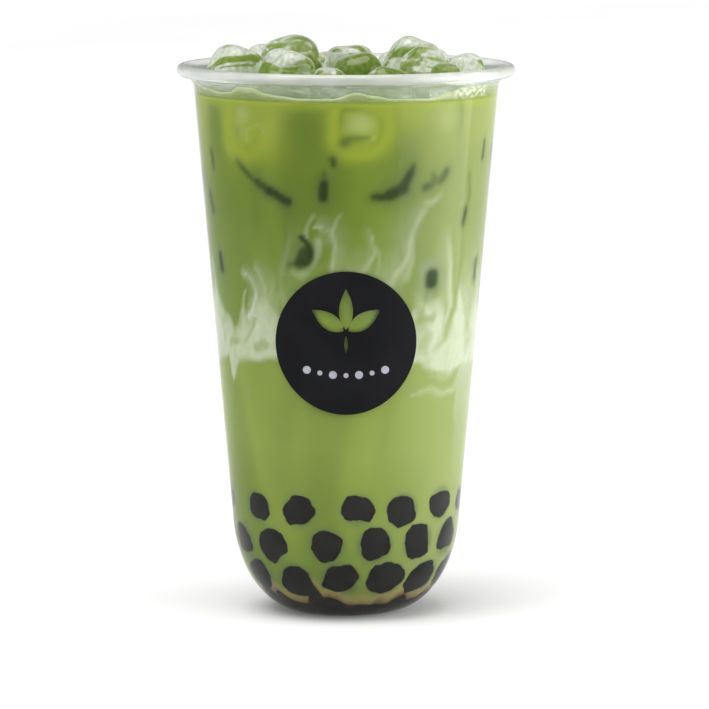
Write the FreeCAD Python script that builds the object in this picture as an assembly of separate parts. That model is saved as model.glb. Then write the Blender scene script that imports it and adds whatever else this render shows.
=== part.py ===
"""A matcha latte with tapioca pearls, served over ice in a clear round-bottomed cup.

Units are millimetres. The origin is the centre of the cup's foot, where it stands, and +Z is up.
The printed side of the cup faces -Y.

The cup is one moulded shell: a small foot with a shallow recess, a round bowl, a straight
tapered wall, and a flare that ends in a thick rounded lip.  The drink, the syrup under it and
each ice cube that stands out of the drink are solids of their own.  The drink is cut round the
ice and the syrup, and fills the cup up to the level where it touches the wall.
"""
import FreeCAD, Part

import math
import os

# --- The cup ---------------------------------------------------------------------------
CUP_HEIGHT = 155.0
RIM_RADIUS = 47.5
LIP_HEIGHT = 3.2
LIP_CORNER = 1.45
WALL = 0.9
TAPER = 0.0868              # how much the wall's radius grows for each millimetre of height
SHOULDER_RADIUS = 42.8      # outside of the wall at SHOULDER_HEIGHT
SHOULDER_HEIGHT = 149.0
BOWL_HEIGHT = 30.0          # semi-axes of the elliptical bowl between the foot and the wall
BOWL_WIDTH = 19.2
FLARE_RADIUS = 3.6
INNER_FLARE_RADIUS = 4.0
FOOT_RECESS = 0.8
FOOT_RECESS_RADIUS = 8.5
FLOOR_HEIGHT = 2.0          # top of the floor inside the cup

# --- What is in it ---------------------------------------------------------------------
DRINK_LEVEL = 147.0
SYRUP_LEVEL = 4.8
SYRUP_PEAK_BASE = 5.6       # radius of a peak of syrup where it leaves the layer, and at its tip
SYRUP_PEAK_TIP = 2.2
SYRUP_PEAK_START = 15.0     # from the axis to where a peak's centre line leaves the floor
# peaks where syrup stands up against the wall: azimuth from the front, degrees, and height
SYRUP_PEAKS = ((-64, 7.6), (-22, 9.6), (72, 6.6), (106, 8.6), (148, 7.2), (187, 9.4), (226, 7.8), (262, 8.8))

# --- The round label on the wall -------------------------------------------------------
LABEL_RADIUS = 20.1
LABEL_ACROSS = 19.5         # half its width as seen from the front, less for the bend round the wall
LABEL_HEIGHT = 80.4         # its centre above the foot
LABEL_THICKNESS = 0.15
SPRIG_HEIGHT = 3.0          # the sprig's joint above the label's centre
LEAF_LENGTH = 10.5
LEAF_WIDTH = 4.6
LEAF_SPREAD_DEG = 56.0      # how far each side leaf leans from the upright bud
BUD_LENGTH = 11.5
BUD_WIDTH = 3.9
STEM_LENGTH = 5.6
STEM_WIDTH = 0.9
LEAF_GAP = 0.8              # bridge of label left between the joint and each leaf

# --- Ice that stands out of the drink --------------------------------------------------
ICE_ROUNDING = 0.30         # edge radius as a share of a cube's smallest side
ICE_DRAFT = 0.13            # how much a cube narrows on each side towards its top
# name: (centre, sides, turn about Z, then lean: how far, and towards which angle), degrees
ICE = {
    "ice_left_front": ((-31.0, -6.0, 151.4), (17.0, 16.5, 18.0), (15, 20, 20)),
    "ice_left_back": ((-15.6, 4.6, 153.2), (18.5, 17.0, 18.0), (38, 18, 260)),
    "ice_back_left": ((-22.6, 24.0, 151.0), (15.5, 14.5, 16.0), (30, 14, 300)),
    "ice_front_left": ((-16.4, -19.0, 151.2), (16.5, 16.5, 18.0), (47, 14, 20)),
    "ice_front_low": ((-4.8, -33.0, 148.8), (12.0, 12.0, 14.5), (8, 14, 300)),
    "ice_centre_back": ((0.6, 13.4, 151.2), (16.5, 14.5, 16.0), (6, 8, 250)),
    "ice_centre": ((3.6, -8.6, 150.6), (16.0, 15.0, 15.5), (12, 12, 190)),
    "ice_front_right": ((11.4, -27.0, 148.6), (14.5, 13.5, 14.5), (25, 12, 80)),
    "ice_right_back": ((18.6, 12.8, 152.4), (17.5, 16.5, 18.0), (15, 20, 40)),
    "ice_right_front": ((22.8, -8.4, 151.4), (16.5, 15.5, 17.5), (34, 14, 130)),
    "ice_right_edge": ((34.4, 5.2, 150.6), (10.5, 10.0, 13.5), (20, 12, 200)),
    "ice_front_edge": ((28.0, -22.6, 149.8), (10.5, 9.5, 13.5), (50, 10, 120)),
    "ice_right_rear": ((30.6, 18.2, 149.2), (9.5, 9.0, 12.0), (35, 12, 220)),
    "ice_back": ((-4.0, 31.0, 149.0), (15.5, 14.0, 15.0), (12, 10, 120)),
    "ice_back_right": ((14.6, 29.4, 148.8), (14.5, 13.0, 15.0), (-22, 14, 290)),
    "ice_left_rear": ((-32.8, 11.8, 149.4), (9.5, 10.0, 12.5), (15, 12, 340)),
}


def vec(x, y, z):
    return FreeCAD.Vector(x, y, z)


def outer_radius(z):
    """Outside of the straight wall at height z."""
    return SHOULDER_RADIUS + TAPER * (z - SHOULDER_HEIGHT)


def inner_radius(z):
    """Inside of the straight wall at height z."""
    return outer_radius(z) - WALL * math.hypot(1.0, TAPER)


def bowl_arc(wall_radius, floor, width, height):
    """Elliptical arc from the floor, where it runs level, up to a wall that it meets with no kink.

    wall_radius(z) gives the wall.  Returns the arc and its two ends as (radius, z)."""
    end = -math.atan(TAPER * height / width)
    top = floor + height + height * math.sin(end)
    start_radius = wall_radius(top) - width * math.cos(end)
    centre = vec(start_radius, 0, floor + height)
    ellipse = Part.Ellipse(centre + vec(0, 0, height), centre + vec(width, 0, 0), centre)
    low = vec(start_radius, 0, floor)
    high = vec(wall_radius(top), 0, top)
    middle_angle = (end - math.pi / 2) / 2
    middle = centre + vec(width * math.cos(middle_angle), 0, height * math.sin(middle_angle))
    first, last, via = (ellipse.parameter(p) for p in (low, high, middle))
    if (via - first) % (2 * math.pi) > (last - first) % (2 * math.pi):
        first, last = last, first
    return Part.ArcOfEllipse(ellipse, first, last).toShape(), (start_radius, floor), (wall_radius(top), top)


def line(start, end):
    return Part.LineSegment(vec(start[0], 0, start[1]), vec(end[0], 0, end[1])).toShape()


def corner(start, end, centre, radius):
    """Round arc of a profile from start to end, by its centre, on the short way between them."""
    towards = vec(start[0] + end[0] - 2 * centre[0], 0, start[1] + end[1] - 2 * centre[1])
    middle = vec(centre[0], 0, centre[1]) + towards.normalize() * radius
    return Part.Arc(vec(start[0], 0, start[1]), middle, vec(end[0], 0, end[1])).toShape()


def turned(edges):
    """Solid of revolution about Z of a closed profile."""
    face = Part.Face(Part.Wire(Part.__sortEdges__(edges)))
    solid = face.revolve(vec(0, 0, 0), vec(0, 0, 1), 360)
    if solid.ShapeType != "Solid":
        solid = Part.Solid(solid.Shells[0])
    if solid.Volume < 0:
        solid.reverse()
    return solid


def wall_to_flare(radius_at, flare, level):
    """Where the wall leaves its line for an arc of radius flare that ends level at height level.

    Returns the arc's start, its end and its centre, each as (radius, z)."""
    lean = math.atan(TAPER)
    start_z = level - flare * (1 - math.sin(lean))
    start = (radius_at(start_z), start_z)
    centre = (start[0] + flare * math.cos(lean), start_z - flare * math.sin(lean))
    return start, (centre[0], level), centre


def cup():
    """The moulded shell, foot to lip, as one turned solid."""
    outer_bowl, foot_edge, outer_top = bowl_arc(outer_radius, 0.0, BOWL_WIDTH, BOWL_HEIGHT)
    inner_bowl, floor_edge, inner_top = bowl_arc(
        inner_radius, FLOOR_HEIGHT, BOWL_WIDTH - WALL, BOWL_HEIGHT - FLOOR_HEIGHT)
    under = CUP_HEIGHT - LIP_HEIGHT
    out_start, out_end, out_centre = wall_to_flare(outer_radius, FLARE_RADIUS, under)
    in_start, in_end, in_centre = wall_to_flare(inner_radius, INNER_FLARE_RADIUS, CUP_HEIGHT)
    lip_in = RIM_RADIUS - LIP_CORNER
    edges = [
        line((0, FOOT_RECESS), (FOOT_RECESS_RADIUS, FOOT_RECESS)),
        line((FOOT_RECESS_RADIUS, FOOT_RECESS), (FOOT_RECESS_RADIUS + FOOT_RECESS, 0)),
        line((FOOT_RECESS_RADIUS + FOOT_RECESS, 0), foot_edge),
        outer_bowl,
        line(outer_top, out_start),
        corner(out_start, out_end, out_centre, FLARE_RADIUS),
        line(out_end, (lip_in, under)),
        corner((lip_in, under), (RIM_RADIUS, under + LIP_CORNER), (lip_in, under + LIP_CORNER), LIP_CORNER),
        line((RIM_RADIUS, under + LIP_CORNER), (RIM_RADIUS, CUP_HEIGHT - LIP_CORNER)),
        corner((RIM_RADIUS, CUP_HEIGHT - LIP_CORNER), (lip_in, CUP_HEIGHT),
               (lip_in, CUP_HEIGHT - LIP_CORNER), LIP_CORNER),
        line((lip_in, CUP_HEIGHT), in_end),
        corner(in_end, in_start, in_centre, INNER_FLARE_RADIUS),
        line(in_start, inner_top),
        inner_bowl,
        line(floor_edge, (0, FLOOR_HEIGHT)),
        line((0, FLOOR_HEIGHT), (0, FOOT_RECESS)),
    ]
    return turned(edges)


def filling(level):
    """All the space inside the cup from its floor up to a level on the straight wall."""
    inner_bowl, floor_edge, inner_top = bowl_arc(
        inner_radius, FLOOR_HEIGHT, BOWL_WIDTH - WALL, BOWL_HEIGHT - FLOOR_HEIGHT)
    edges = [
        line((0, FLOOR_HEIGHT), floor_edge),
        inner_bowl,
        line(inner_top, (inner_radius(level), level)),
        line((inner_radius(level), level), (0, level)),
        line((0, level), (0, FLOOR_HEIGHT)),
    ]
    return turned(edges)


def inner_bowl_radius(z):
    """Inside of the bowl at height z."""
    width = BOWL_WIDTH - WALL
    height = BOWL_HEIGHT - FLOOR_HEIGHT
    end = -math.atan(TAPER * height / width)
    centre_z = FLOOR_HEIGHT + height
    start_radius = inner_radius(centre_z + height * math.sin(end)) - width * math.cos(end)
    return start_radius + width * math.sqrt(1 - ((z - centre_z) / height) ** 2)


def syrup(space):
    """The dark syrup on the floor: a thin layer that runs up the wall in soft peaks."""
    layer = Part.makeCylinder(RIM_RADIUS, SYRUP_LEVEL)
    for azimuth, top in SYRUP_PEAKS:
        outward = vec(math.sin(math.radians(azimuth)), -math.cos(math.radians(azimuth)), 0)
        foot = outward * SYRUP_PEAK_START + vec(0, 0, FLOOR_HEIGHT)
        tip = outward * inner_bowl_radius(top) + vec(0, 0, top)
        peak = Part.makeCone(SYRUP_PEAK_BASE, SYRUP_PEAK_TIP, (tip - foot).Length, foot, tip - foot)
        layer = layer.fuse(peak)
    return layer.common(space)


def ice_cube(centre, sides, turn):
    """A half-melted cube: it narrows towards its top, and all its edges are rounded."""
    length, width, height = sides
    draft = ICE_DRAFT * min(sides)
    cube = Part.makeWedge(0, 0, 0, draft, draft, length, height, width, width - draft, length - draft)
    cube = cube.makeFillet(ICE_ROUNDING * min(sides), cube.Edges)
    cube.translate(vec(-length / 2, -height / 2, -width / 2))
    cube.rotate(vec(0, 0, 0), vec(1, 0, 0), 90)
    spin, lean, towards = turn
    cube.rotate(vec(0, 0, 0), vec(0, 0, 1), spin)
    lean_axis = vec(-math.sin(math.radians(towards)), math.cos(math.radians(towards)), 0)
    cube.rotate(vec(0, 0, 0), lean_axis, lean)
    cube.translate(vec(*centre))
    return cube


def leaf(length, width, gap, lean_deg):
    """Flat leaf in the XZ plane that points away from the sprig's joint at the origin."""
    bulge = vec(width / 2, 0, gap + length * 0.45)
    tip = vec(0, 0, gap + length)
    root = vec(0, 0, gap)
    other = vec(-bulge.x, 0, bulge.z)
    outline = Part.Wire([Part.Arc(root, bulge, tip).toShape(), Part.Arc(tip, other, root).toShape()])
    face = Part.Face(outline)
    face.rotate(vec(0, 0, 0), vec(0, 1, 0), lean_deg)
    return face


def sprig_windows():
    """The see-through tea sprig of the label: an upright bud, two side leaves and a stem."""
    faces = [
        leaf(BUD_LENGTH, BUD_WIDTH, LEAF_GAP, 0),
        leaf(LEAF_LENGTH, LEAF_WIDTH, LEAF_GAP, LEAF_SPREAD_DEG),
        leaf(LEAF_LENGTH, LEAF_WIDTH, LEAF_GAP, -LEAF_SPREAD_DEG),
        leaf(STEM_LENGTH, STEM_WIDTH, LEAF_GAP, 180),
    ]
    windows = []
    for face in faces:
        face.translate(vec(0, -RIM_RADIUS, LABEL_HEIGHT + SPRIG_HEIGHT))
        windows.append(face.extrude(vec(0, RIM_RADIUS, 0)))
    return windows


def label():
    """Thin round label that follows the wall, with the sprig cut out of it."""
    low = LABEL_HEIGHT - LABEL_RADIUS - 1
    high = LABEL_HEIGHT + LABEL_RADIUS + 1
    skin = Part.makeCone(outer_radius(low) + LABEL_THICKNESS, outer_radius(high) + LABEL_THICKNESS,
                         high - low, vec(0, 0, low))
    core = Part.makeCone(outer_radius(low), outer_radius(high), high - low, vec(0, 0, low))
    outline = Part.Ellipse(vec(0, 0, LABEL_HEIGHT + LABEL_RADIUS), vec(LABEL_ACROSS, 0, LABEL_HEIGHT),
                           vec(0, 0, LABEL_HEIGHT))
    disc = Part.Face(Part.Wire(outline.toShape())).extrude(vec(0, -RIM_RADIUS, 0))
    shape = skin.cut(core).common(disc)
    for window in sprig_windows():
        shape = shape.cut(window)
    return shape


def one_solid(shape, name):
    """The single solid of a shape, or an error that names what came apart."""
    if len(shape.Solids) != 1 or not shape.Solids[0].isValid():
        raise RuntimeError(f"{name}: {len(shape.Solids)} solids, valid {shape.isValid()}")
    return shape.Solids[0]


def build():
    """Every piece by name."""
    space = filling(DRINK_LEVEL)
    cubes = {name: ice_cube(*facts) for name, facts in ICE.items()}
    dark = syrup(space)
    drink = space.cut(dark)
    for cube in cubes.values():
        drink = drink.cut(cube)
    pieces = {"cup": cup(), "syrup": dark, "drink": drink, "label": label()}
    pieces.update(cubes)
    return {name: one_solid(shape, name) for name, shape in pieces.items()}


def main():
    os.makedirs("parts", exist_ok=True)
    for name, shape in build().items():
        shape.exportStep(os.path.join("parts", f"{name}.step"))
        box = shape.BoundBox
        print(f"{name:16s} {shape.Volume / 1000:8.2f} cm3  z {box.ZMin:7.2f} to {box.ZMax:7.2f}")


if __name__ == "__main__":
    main()
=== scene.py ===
"""The finished look of an iced matcha latte with tapioca pearls, in a clear round-bottomed cup.

Lengths in the sections are in millimetres, and MM turns them into the scene's metres.  The label
faces -Y, and an azimuth is measured from there, positive towards +X.
"""
import math

import bmesh
import bpy
import numpy as np
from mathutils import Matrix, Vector
from mathutils.bvhtree import BVHTree


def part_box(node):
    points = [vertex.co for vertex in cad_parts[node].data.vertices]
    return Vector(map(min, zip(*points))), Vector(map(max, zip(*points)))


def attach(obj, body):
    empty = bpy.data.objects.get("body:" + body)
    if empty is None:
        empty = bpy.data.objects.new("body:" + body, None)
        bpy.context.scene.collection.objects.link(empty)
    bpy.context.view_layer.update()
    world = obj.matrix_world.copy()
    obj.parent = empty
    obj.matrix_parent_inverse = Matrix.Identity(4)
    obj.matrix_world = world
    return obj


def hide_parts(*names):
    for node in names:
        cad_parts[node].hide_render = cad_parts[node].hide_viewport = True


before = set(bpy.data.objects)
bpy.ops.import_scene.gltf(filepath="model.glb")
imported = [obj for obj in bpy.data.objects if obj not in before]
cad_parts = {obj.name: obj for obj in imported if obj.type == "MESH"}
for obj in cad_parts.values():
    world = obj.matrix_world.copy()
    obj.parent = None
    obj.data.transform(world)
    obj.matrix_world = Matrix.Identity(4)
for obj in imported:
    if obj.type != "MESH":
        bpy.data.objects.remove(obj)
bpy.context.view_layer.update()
MM = 0.001

# ---------------------------------------------------------------------------------------
# The cup.  One injection-moulded shell of clear polypropylene: a small recessed foot, a
# round bowl, a straight tapered wall, and a flare that ends in a thick frosted lip.
# ---------------------------------------------------------------------------------------
cup_low, cup_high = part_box("cup")
CUP_HEIGHT = cup_high.z / MM
RIM_RADIUS = min(cup_high.x, cup_high.y, -cup_low.x, -cup_low.y) / MM
WALL = 0.9
TAPER = 0.0868
SHOULDER_RADIUS = 42.8
SHOULDER_HEIGHT = 149.0
BOWL_WIDTH = 19.2
BOWL_HEIGHT = 30.0
FLOOR_HEIGHT = 2.0
FOOT_RECESS = 0.8
FOOT_RECESS_RADIUS = 8.5
LIP_HEIGHT = 3.2
LIP_CORNER = 1.45
FLARE_RADIUS = 3.6
INNER_FLARE_RADIUS = 4.0
CUP_STEPS = 288
CUP_TINT = (0.93, 0.955, 0.92, 1.0)


def wall_radius(z, inset):
    """Radius of the straight wall at height z: its outside with inset 0, its inside with WALL."""
    return SHOULDER_RADIUS + TAPER * (z - SHOULDER_HEIGHT) - inset * math.hypot(1.0, TAPER)


def bowl_points(inset, floor, steps):
    """(radius, z) along the bowl, from the edge of the flat floor up to the straight wall."""
    width = BOWL_WIDTH - inset
    height = BOWL_HEIGHT - floor
    end = -math.atan(TAPER * height / width)
    foot = wall_radius(BOWL_HEIGHT + height * math.sin(end), inset) - width * math.cos(end)
    angles = np.linspace(-math.pi / 2, end, steps)
    return [(foot + width * math.cos(a), BOWL_HEIGHT + height * math.sin(a)) for a in angles]


def arc_points(centre, radius, start_deg, end_deg, steps):
    angles = np.radians(np.linspace(start_deg, end_deg, steps))
    return [(centre[0] + radius * math.cos(a), centre[1] + radius * math.sin(a)) for a in angles]


def skin(name, rings, low_pole=None, high_pole=None):
    """Mesh through closed rings of points (rings x steps x 3, in mm), with poles that close its ends."""
    rings = np.asarray(rings, float)
    count, steps, _ = rings.shape
    index = np.arange(count * steps).reshape(count, steps)
    turned = np.roll(index, -1, axis=1)
    faces = np.stack([index[:-1], turned[:-1], turned[1:], index[1:]], axis=-1).reshape(-1, 4).tolist()
    points = rings.reshape(-1, 3).tolist()
    for pole, ring, flip in ((low_pole, 0, True), (high_pole, -1, False)):
        if pole is not None:
            points.append(list(pole))
            last = len(points) - 1
            pairs = zip(index[ring], turned[ring])
            faces += [(int(b), int(a), last) if flip else (int(a), int(b), last) for a, b in pairs]
    mesh = bpy.data.meshes.new(name)
    mesh.from_pydata((np.asarray(points) * MM).tolist(), [], faces)
    work = bmesh.new()
    work.from_mesh(mesh)
    bmesh.ops.recalc_face_normals(work, faces=work.faces)
    if low_pole is not None and high_pole is not None and work.calc_volume(signed=True) < 0:
        bmesh.ops.reverse_faces(work, faces=work.faces)
    work.to_mesh(mesh)
    work.free()
    mesh.shade_smooth()
    return mesh


def spun(profile, steps):
    """Rings of points round Z through a profile of (radius, z)."""
    turns = np.linspace(0, 2 * math.pi, steps, endpoint=False)
    return [[(r * math.sin(t), -r * math.cos(t), z) for t in turns] for r, z in profile]


def place(name, mesh, *finishes):
    """Puts a mesh into the scene as a piece with its finishes."""
    piece = bpy.data.objects.new(name, mesh)
    bpy.context.scene.collection.objects.link(piece)
    for finish in finishes:
        mesh.materials.append(finish)
    return piece


def new_finish(name):
    finish = bpy.data.materials.new(name)
    finish.use_nodes = True
    finish.node_tree.nodes.clear()
    return finish, finish.node_tree


def node(tree, kind, inputs=(), **settings):
    """Adds a shader node: an input is set to a value, or linked where a socket is given."""
    made = tree.nodes.new("ShaderNode" + kind)
    for key, value in settings.items():
        setattr(made, key, value)
    for key, value in dict(inputs).items():
        if isinstance(value, bpy.types.NodeSocket):
            tree.links.new(value, made.inputs[key])
        else:
            made.inputs[key].default_value = value
    return made


def maths(tree, operation, first, second=0.0, clamp=False):
    return node(tree, "Math", {0: first, 1: second}, operation=operation, use_clamp=clamp).outputs[0]


def ramp(tree, factor, stops, smooth=True):
    """Colour ramp through (position, colour) stops."""
    made = node(tree, "ValToRGB", {"Fac": factor})
    made.color_ramp.interpolation = "EASE" if smooth else "LINEAR"
    elements = made.color_ramp.elements
    while len(elements) < len(stops):
        elements.new(0.5)
    for element, (position, colour) in zip(elements, stops):
        element.position = position
        element.color = (*colour, 1.0)
    return made.outputs["Color"]


def blend_colour(tree, factor, first, second, how="MIX"):
    made = node(tree, "Mix", {"Factor": factor}, data_type="RGBA", blend_type=how)
    for key, value in ((6, first), (7, second)):
        if isinstance(value, bpy.types.NodeSocket):
            tree.links.new(value, made.inputs[key])
        else:
            made.inputs[key].default_value = (*value, 1.0)
    return made.outputs[2]


noise_group = bpy.data.node_groups.new("soft noise", "ShaderNodeTree")
for name, kind in (("Scale", "Float"), ("Detail", "Float"), ("Warp", "Float"), ("Stretch", "Vector")):
    noise_group.interface.new_socket(name=name, in_out="INPUT", socket_type="NodeSocket" + kind)
noise_group.interface.new_socket(name="Amount", in_out="OUTPUT", socket_type="NodeSocketFloat")
given = noise_group.nodes.new("NodeGroupInput").outputs
own_place = node(noise_group, "TexCoord").outputs["Object"]
stretched = node(noise_group, "Mapping", {"Vector": own_place, "Scale": given["Stretch"]}).outputs[0]
waves = node(noise_group, "TexNoise", {
    "Vector": stretched, "Scale": given["Scale"], "Detail": given["Detail"],
    "Distortion": given["Warp"]})
noise_group.links.new(waves.outputs["Fac"], noise_group.nodes.new("NodeGroupOutput").inputs["Amount"])


def soft_noise(tree, scale, detail=3.0, stretch=(1, 1, 1), warp=0.0):
    """Soft noise in the piece's own space; scale counts its waves in a metre."""
    made = node(tree, "Group", {}, node_tree=noise_group)
    for key, value in (("Scale", scale), ("Detail", detail), ("Warp", warp), ("Stretch", stretch)):
        made.inputs[key].default_value = value
    return made.outputs["Amount"]


def finish_clear(tree, shader, shadow_tint):
    """Lets the studio's light reach what is behind a clear piece, and closes its node tree."""
    path = node(tree, "LightPath")
    through = node(tree, "BsdfTransparent", {"Color": shadow_tint})
    mixed = node(tree, "MixShader", {0: path.outputs["Is Shadow Ray"], 1: shader.outputs[0],
                                     2: through.outputs[0]})
    node(tree, "OutputMaterial", {"Surface": mixed.outputs[0]})


def flare_start(inset, flare, level):
    """Where the wall leaves its line for a flare that ends level: the start and the arc's centre."""
    lean = math.atan(TAPER)
    start_z = level - flare * (1 - math.sin(lean))
    start_radius = wall_radius(start_z, inset)
    return (start_radius, start_z), (start_radius + flare * math.cos(lean), start_z - flare * math.sin(lean))


def cup_profile():
    """Outline from the middle of the recess under the foot, round the lip, to the middle of the floor."""
    under = CUP_HEIGHT - LIP_HEIGHT
    lean_deg = math.degrees(math.atan(TAPER))
    lip_in = RIM_RADIUS - LIP_CORNER
    (_, out_z), out_centre = flare_start(0.0, FLARE_RADIUS, under)
    (_, in_z), in_centre = flare_start(WALL, INNER_FLARE_RADIUS, CUP_HEIGHT)
    recess = [(FOOT_RECESS_RADIUS * share, FOOT_RECESS) for share in (0.3, 0.65, 1.0)]
    outer = [(FOOT_RECESS_RADIUS + FOOT_RECESS, 0.0), (11.2, 0.0)] + bowl_points(0.0, 0.0, 40)
    rise = np.linspace(outer[-1][1], out_z, 34)[1:-1]
    outer += [(wall_radius(z, 0.0), z) for z in rise]
    outer += arc_points(out_centre, FLARE_RADIUS, 180 - lean_deg, 90, 9)
    lip = [(lip_in - 1.2, under)]
    lip += arc_points((lip_in, under + LIP_CORNER), LIP_CORNER, -90, 0, 8)
    lip += arc_points((lip_in, CUP_HEIGHT - LIP_CORNER), LIP_CORNER, 0, 90, 8)
    inner = arc_points(in_centre, INNER_FLARE_RADIUS, 90, 180 - lean_deg, 9)
    bowl = bowl_points(WALL, FLOOR_HEIGHT, 40)[::-1]
    inner += [(wall_radius(z, WALL), z) for z in np.linspace(in_z, bowl[0][1], 34)[1:-1]]
    inner += bowl + [(8.0, FLOOR_HEIGHT), (4.0, FLOOR_HEIGHT)]
    return recess + outer, lip, inner


before_lip, lip_part, after_lip = cup_profile()
cup_mesh = skin("cup_shell", spun(before_lip + lip_part + after_lip, CUP_STEPS),
                (0, 0, FOOT_RECESS), (0, 0, FLOOR_HEIGHT))

clear_plastic, tree = new_finish("clear plastic")
ripple = soft_noise(tree, 55.0, 2.0, stretch=(1, 1, 0.5))
bump = node(tree, "Bump", {"Height": ripple, "Strength": 0.05, "Distance": 0.0006})
haze = ramp(tree, soft_noise(tree, 38.0, 3.0, stretch=(1, 1, 0.35)),
            [(0.3, (0.055, 0.055, 0.055)), (0.75, (0.09, 0.09, 0.09))])
wall_shader = node(tree, "BsdfPrincipled", {
    "Base Color": CUP_TINT, "Roughness": haze, "IOR": 1.14,
    "Transmission Weight": 1.0, "Coat Weight": 0.2, "Coat Roughness": 0.3, "Coat IOR": 1.5,
    "Normal": bump.outputs[0]})
finish_clear(tree, wall_shader, (0.96, 0.975, 0.95, 1.0))

frosted_plastic, tree = new_finish("frosted plastic")
grain = soft_noise(tree, 900.0, 2.0)
grain_bump = node(tree, "Bump", {"Height": grain, "Strength": 0.12, "Distance": 0.0002})
cloud = ramp(tree, soft_noise(tree, 120.0, 2.0), [(0.3, (0.60, 0.62, 0.60)), (0.7, (0.72, 0.735, 0.71))])
lip_shader = node(tree, "BsdfPrincipled", {
    "Base Color": cloud, "Roughness": 0.3, "IOR": 1.45, "Transmission Weight": 0.7,
    "Coat Weight": 0.3, "Coat Roughness": 0.15, "Normal": grain_bump.outputs[0]})
finish_clear(tree, lip_shader, (0.85, 0.87, 0.85, 1.0))

cup = place("cup_shell", cup_mesh, clear_plastic, frosted_plastic)
for face in cup_mesh.polygons:
    if face.center.z > (CUP_HEIGHT - LIP_HEIGHT + 0.5) * MM:
        face.material_index = 1
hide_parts("cup")
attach(cup, "root")

# ---------------------------------------------------------------------------------------
# The drink.  Green tea stirred into milk, nearly opaque.  It fills the cup up to its level
# and is marked on the wall by streaks of milk and by painted shade between the ice cubes.
# ---------------------------------------------------------------------------------------
drink_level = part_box("drink")[1].z / MM
DRINK_REACH = 0.12           # how far the drink's skin stands in the wall, so that no air shows
DRINK_STEPS = 336
DRINK_ROWS = 176
TOP_ROWS = 56

# edges of the band of milk, as azimuth and height
MILK_TOP = [
    (-88, 88), (-80, 93), (-76, 96.5), (-73, 93), (-66, 87.5), (-58, 83.2), (-54.5, 86), (-51, 90),
    (-47.5, 86.6), (-44, 91), (-39, 93), (-34, 91), (-27, 87), (-18, 79), (0, 77), (18, 79), (27, 87),
    (31, 90), (33.5, 86.6), (37, 92), (42, 92.5), (46, 90.5), (50.5, 83.6), (54, 85.5), (57, 92), (60, 88),
    (66, 81.5), (71, 88), (77, 94), (82, 89),
]
MILK_BOTTOM = [
    (-88, 71.2), (-70, 72.4), (-66.5, 74), (-63.5, 67.2), (-60, 69.5), (-56, 73.4), (-49, 74), (-35, 74.8),
    (0, 75.5), (34, 74.8), (38, 73), (46, 71), (56, 70.4), (66, 71.5), (80, 72),
]
# strands of milk: (azimuth, height) points, width at start and end, strength, side of a soft veil
STRANDS = [
    ([(-74, 80), (-77, 90), (-76, 96), (-77, 101)], 2.6, 0.8, 0.6, 0),
    ([(-51, 86), (-50, 89.5), (-48, 93.4)], 0.8, 0.35, 0.6, 0),
    ([(-47, 86), (-43.4, 89.2), (-41.6, 93.3), (-43.6, 95.8), (-47.5, 98.2), (-50, 98.6)], 1.3, 0.4, 0.9, 1),
    ([(-35, 88), (-36.4, 94), (-38.5, 97.6), (-42, 101)], 1.5, 0.45, 0.6, 1),
    ([(-34, 92), (-32.6, 98.8)], 1.1, 0.45, 0.4, 0),
    ([(-27, 91), (-28.4, 99), (-24, 109)], 1.6, 0.9, 0.26, 1),
    ([(34, 119.3), (37, 119.6), (40, 120.8)], 0.55, 0.7, 0.5, 0),
    ([(18, 96), (23, 100.6), (26, 104), (27.2, 109.4), (30.5, 113.5), (34, 116.6)], 1.7, 0.7, 0.6, -1),
    ([(25, 98), (27.6, 102), (28.6, 105.4), (29, 109.3)], 1.5, 0.6, 0.36, 0),
    ([(4, 99.4), (8, 101.2), (11, 103.6), (11.8, 106), (10, 110.6)], 1.1, 0.35, 0.5, -1),
    ([(13, 99.5), (14.4, 103), (12.6, 107.4)], 1.1, 0.4, 0.32, 0),
    ([(33, 88), (33.4, 94), (36, 100.3), (41, 101.6), (44.2, 98.5), (44.4, 91)], 1.9, 1.9, 0.42, 0),
    ([(39, 88), (38, 94)], 3.0, 1.2, 0.5, 0),
    ([(50, 84), (50.2, 92), (49.4, 100), (48.4, 104.4), (46, 107.4)], 1.3, 0.55, 0.75, -1),
    ([(62, 76), (61, 84), (58.4, 89.5), (57, 93)], 4.6, 0.7, 1.2, 1),
    ([(63, 79), (70, 86), (75, 91), (77, 95), (73, 99), (70, 104)], 2.0, 0.8, 0.6, 0),
    ([(64, 73), (63, 68.8), (59, 65.2), (49, 64.3), (39, 66), (32, 65.7)], 1.7, 0.6, 0.5, 0),
    ([(61, 72), (50, 69.2), (42, 70.3)], 2.2, 1.0, 0.4, 0),
    ([(-12.5, 112.4), (-9, 111.9), (-6, 110.3), (-5, 104.5), (-6, 98)], 0.45, 0.9, 0.55, 1),
    ([(-6, 110.3), (-3, 115.5)], 0.7, 0.35, 0.55, 0),
    ([(-16.4, 108.5), (-16, 113), (-12.6, 116)], 0.7, 0.5, 0.45, 0),
    ([(-11.6, 109), (-12.6, 104.6), (-15.4, 101.2), (-20, 99.6), (-23, 100.4)], 1.0, 1.1, 0.46, 0),
]
# green gaps inside the milk: azimuth, height, half length, half width, tilt from upright, strength
GAPS = [
    (-41, 78.4, 1.2, 1.1, 80, 0.5), (-59, 78.4, 1.8, 1.1, 64, 0.42), (-47, 82.2, 3.6, 0.5, 34, 0.45),
    (37.5, 86.3, 2.6, 1.0, 80, 0.55), (51, 84, 3.4, 0.9, 14, 0.5), (46, 78, 2.6, 0.8, 70, 0.3),
    (70, 78, 2.4, 0.7, 50, 0.3), (36, 79.5, 1.6, 0.8, 50, 0.3), (-70, 80, 2.6, 0.7, -20, 0.3),
]
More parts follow.
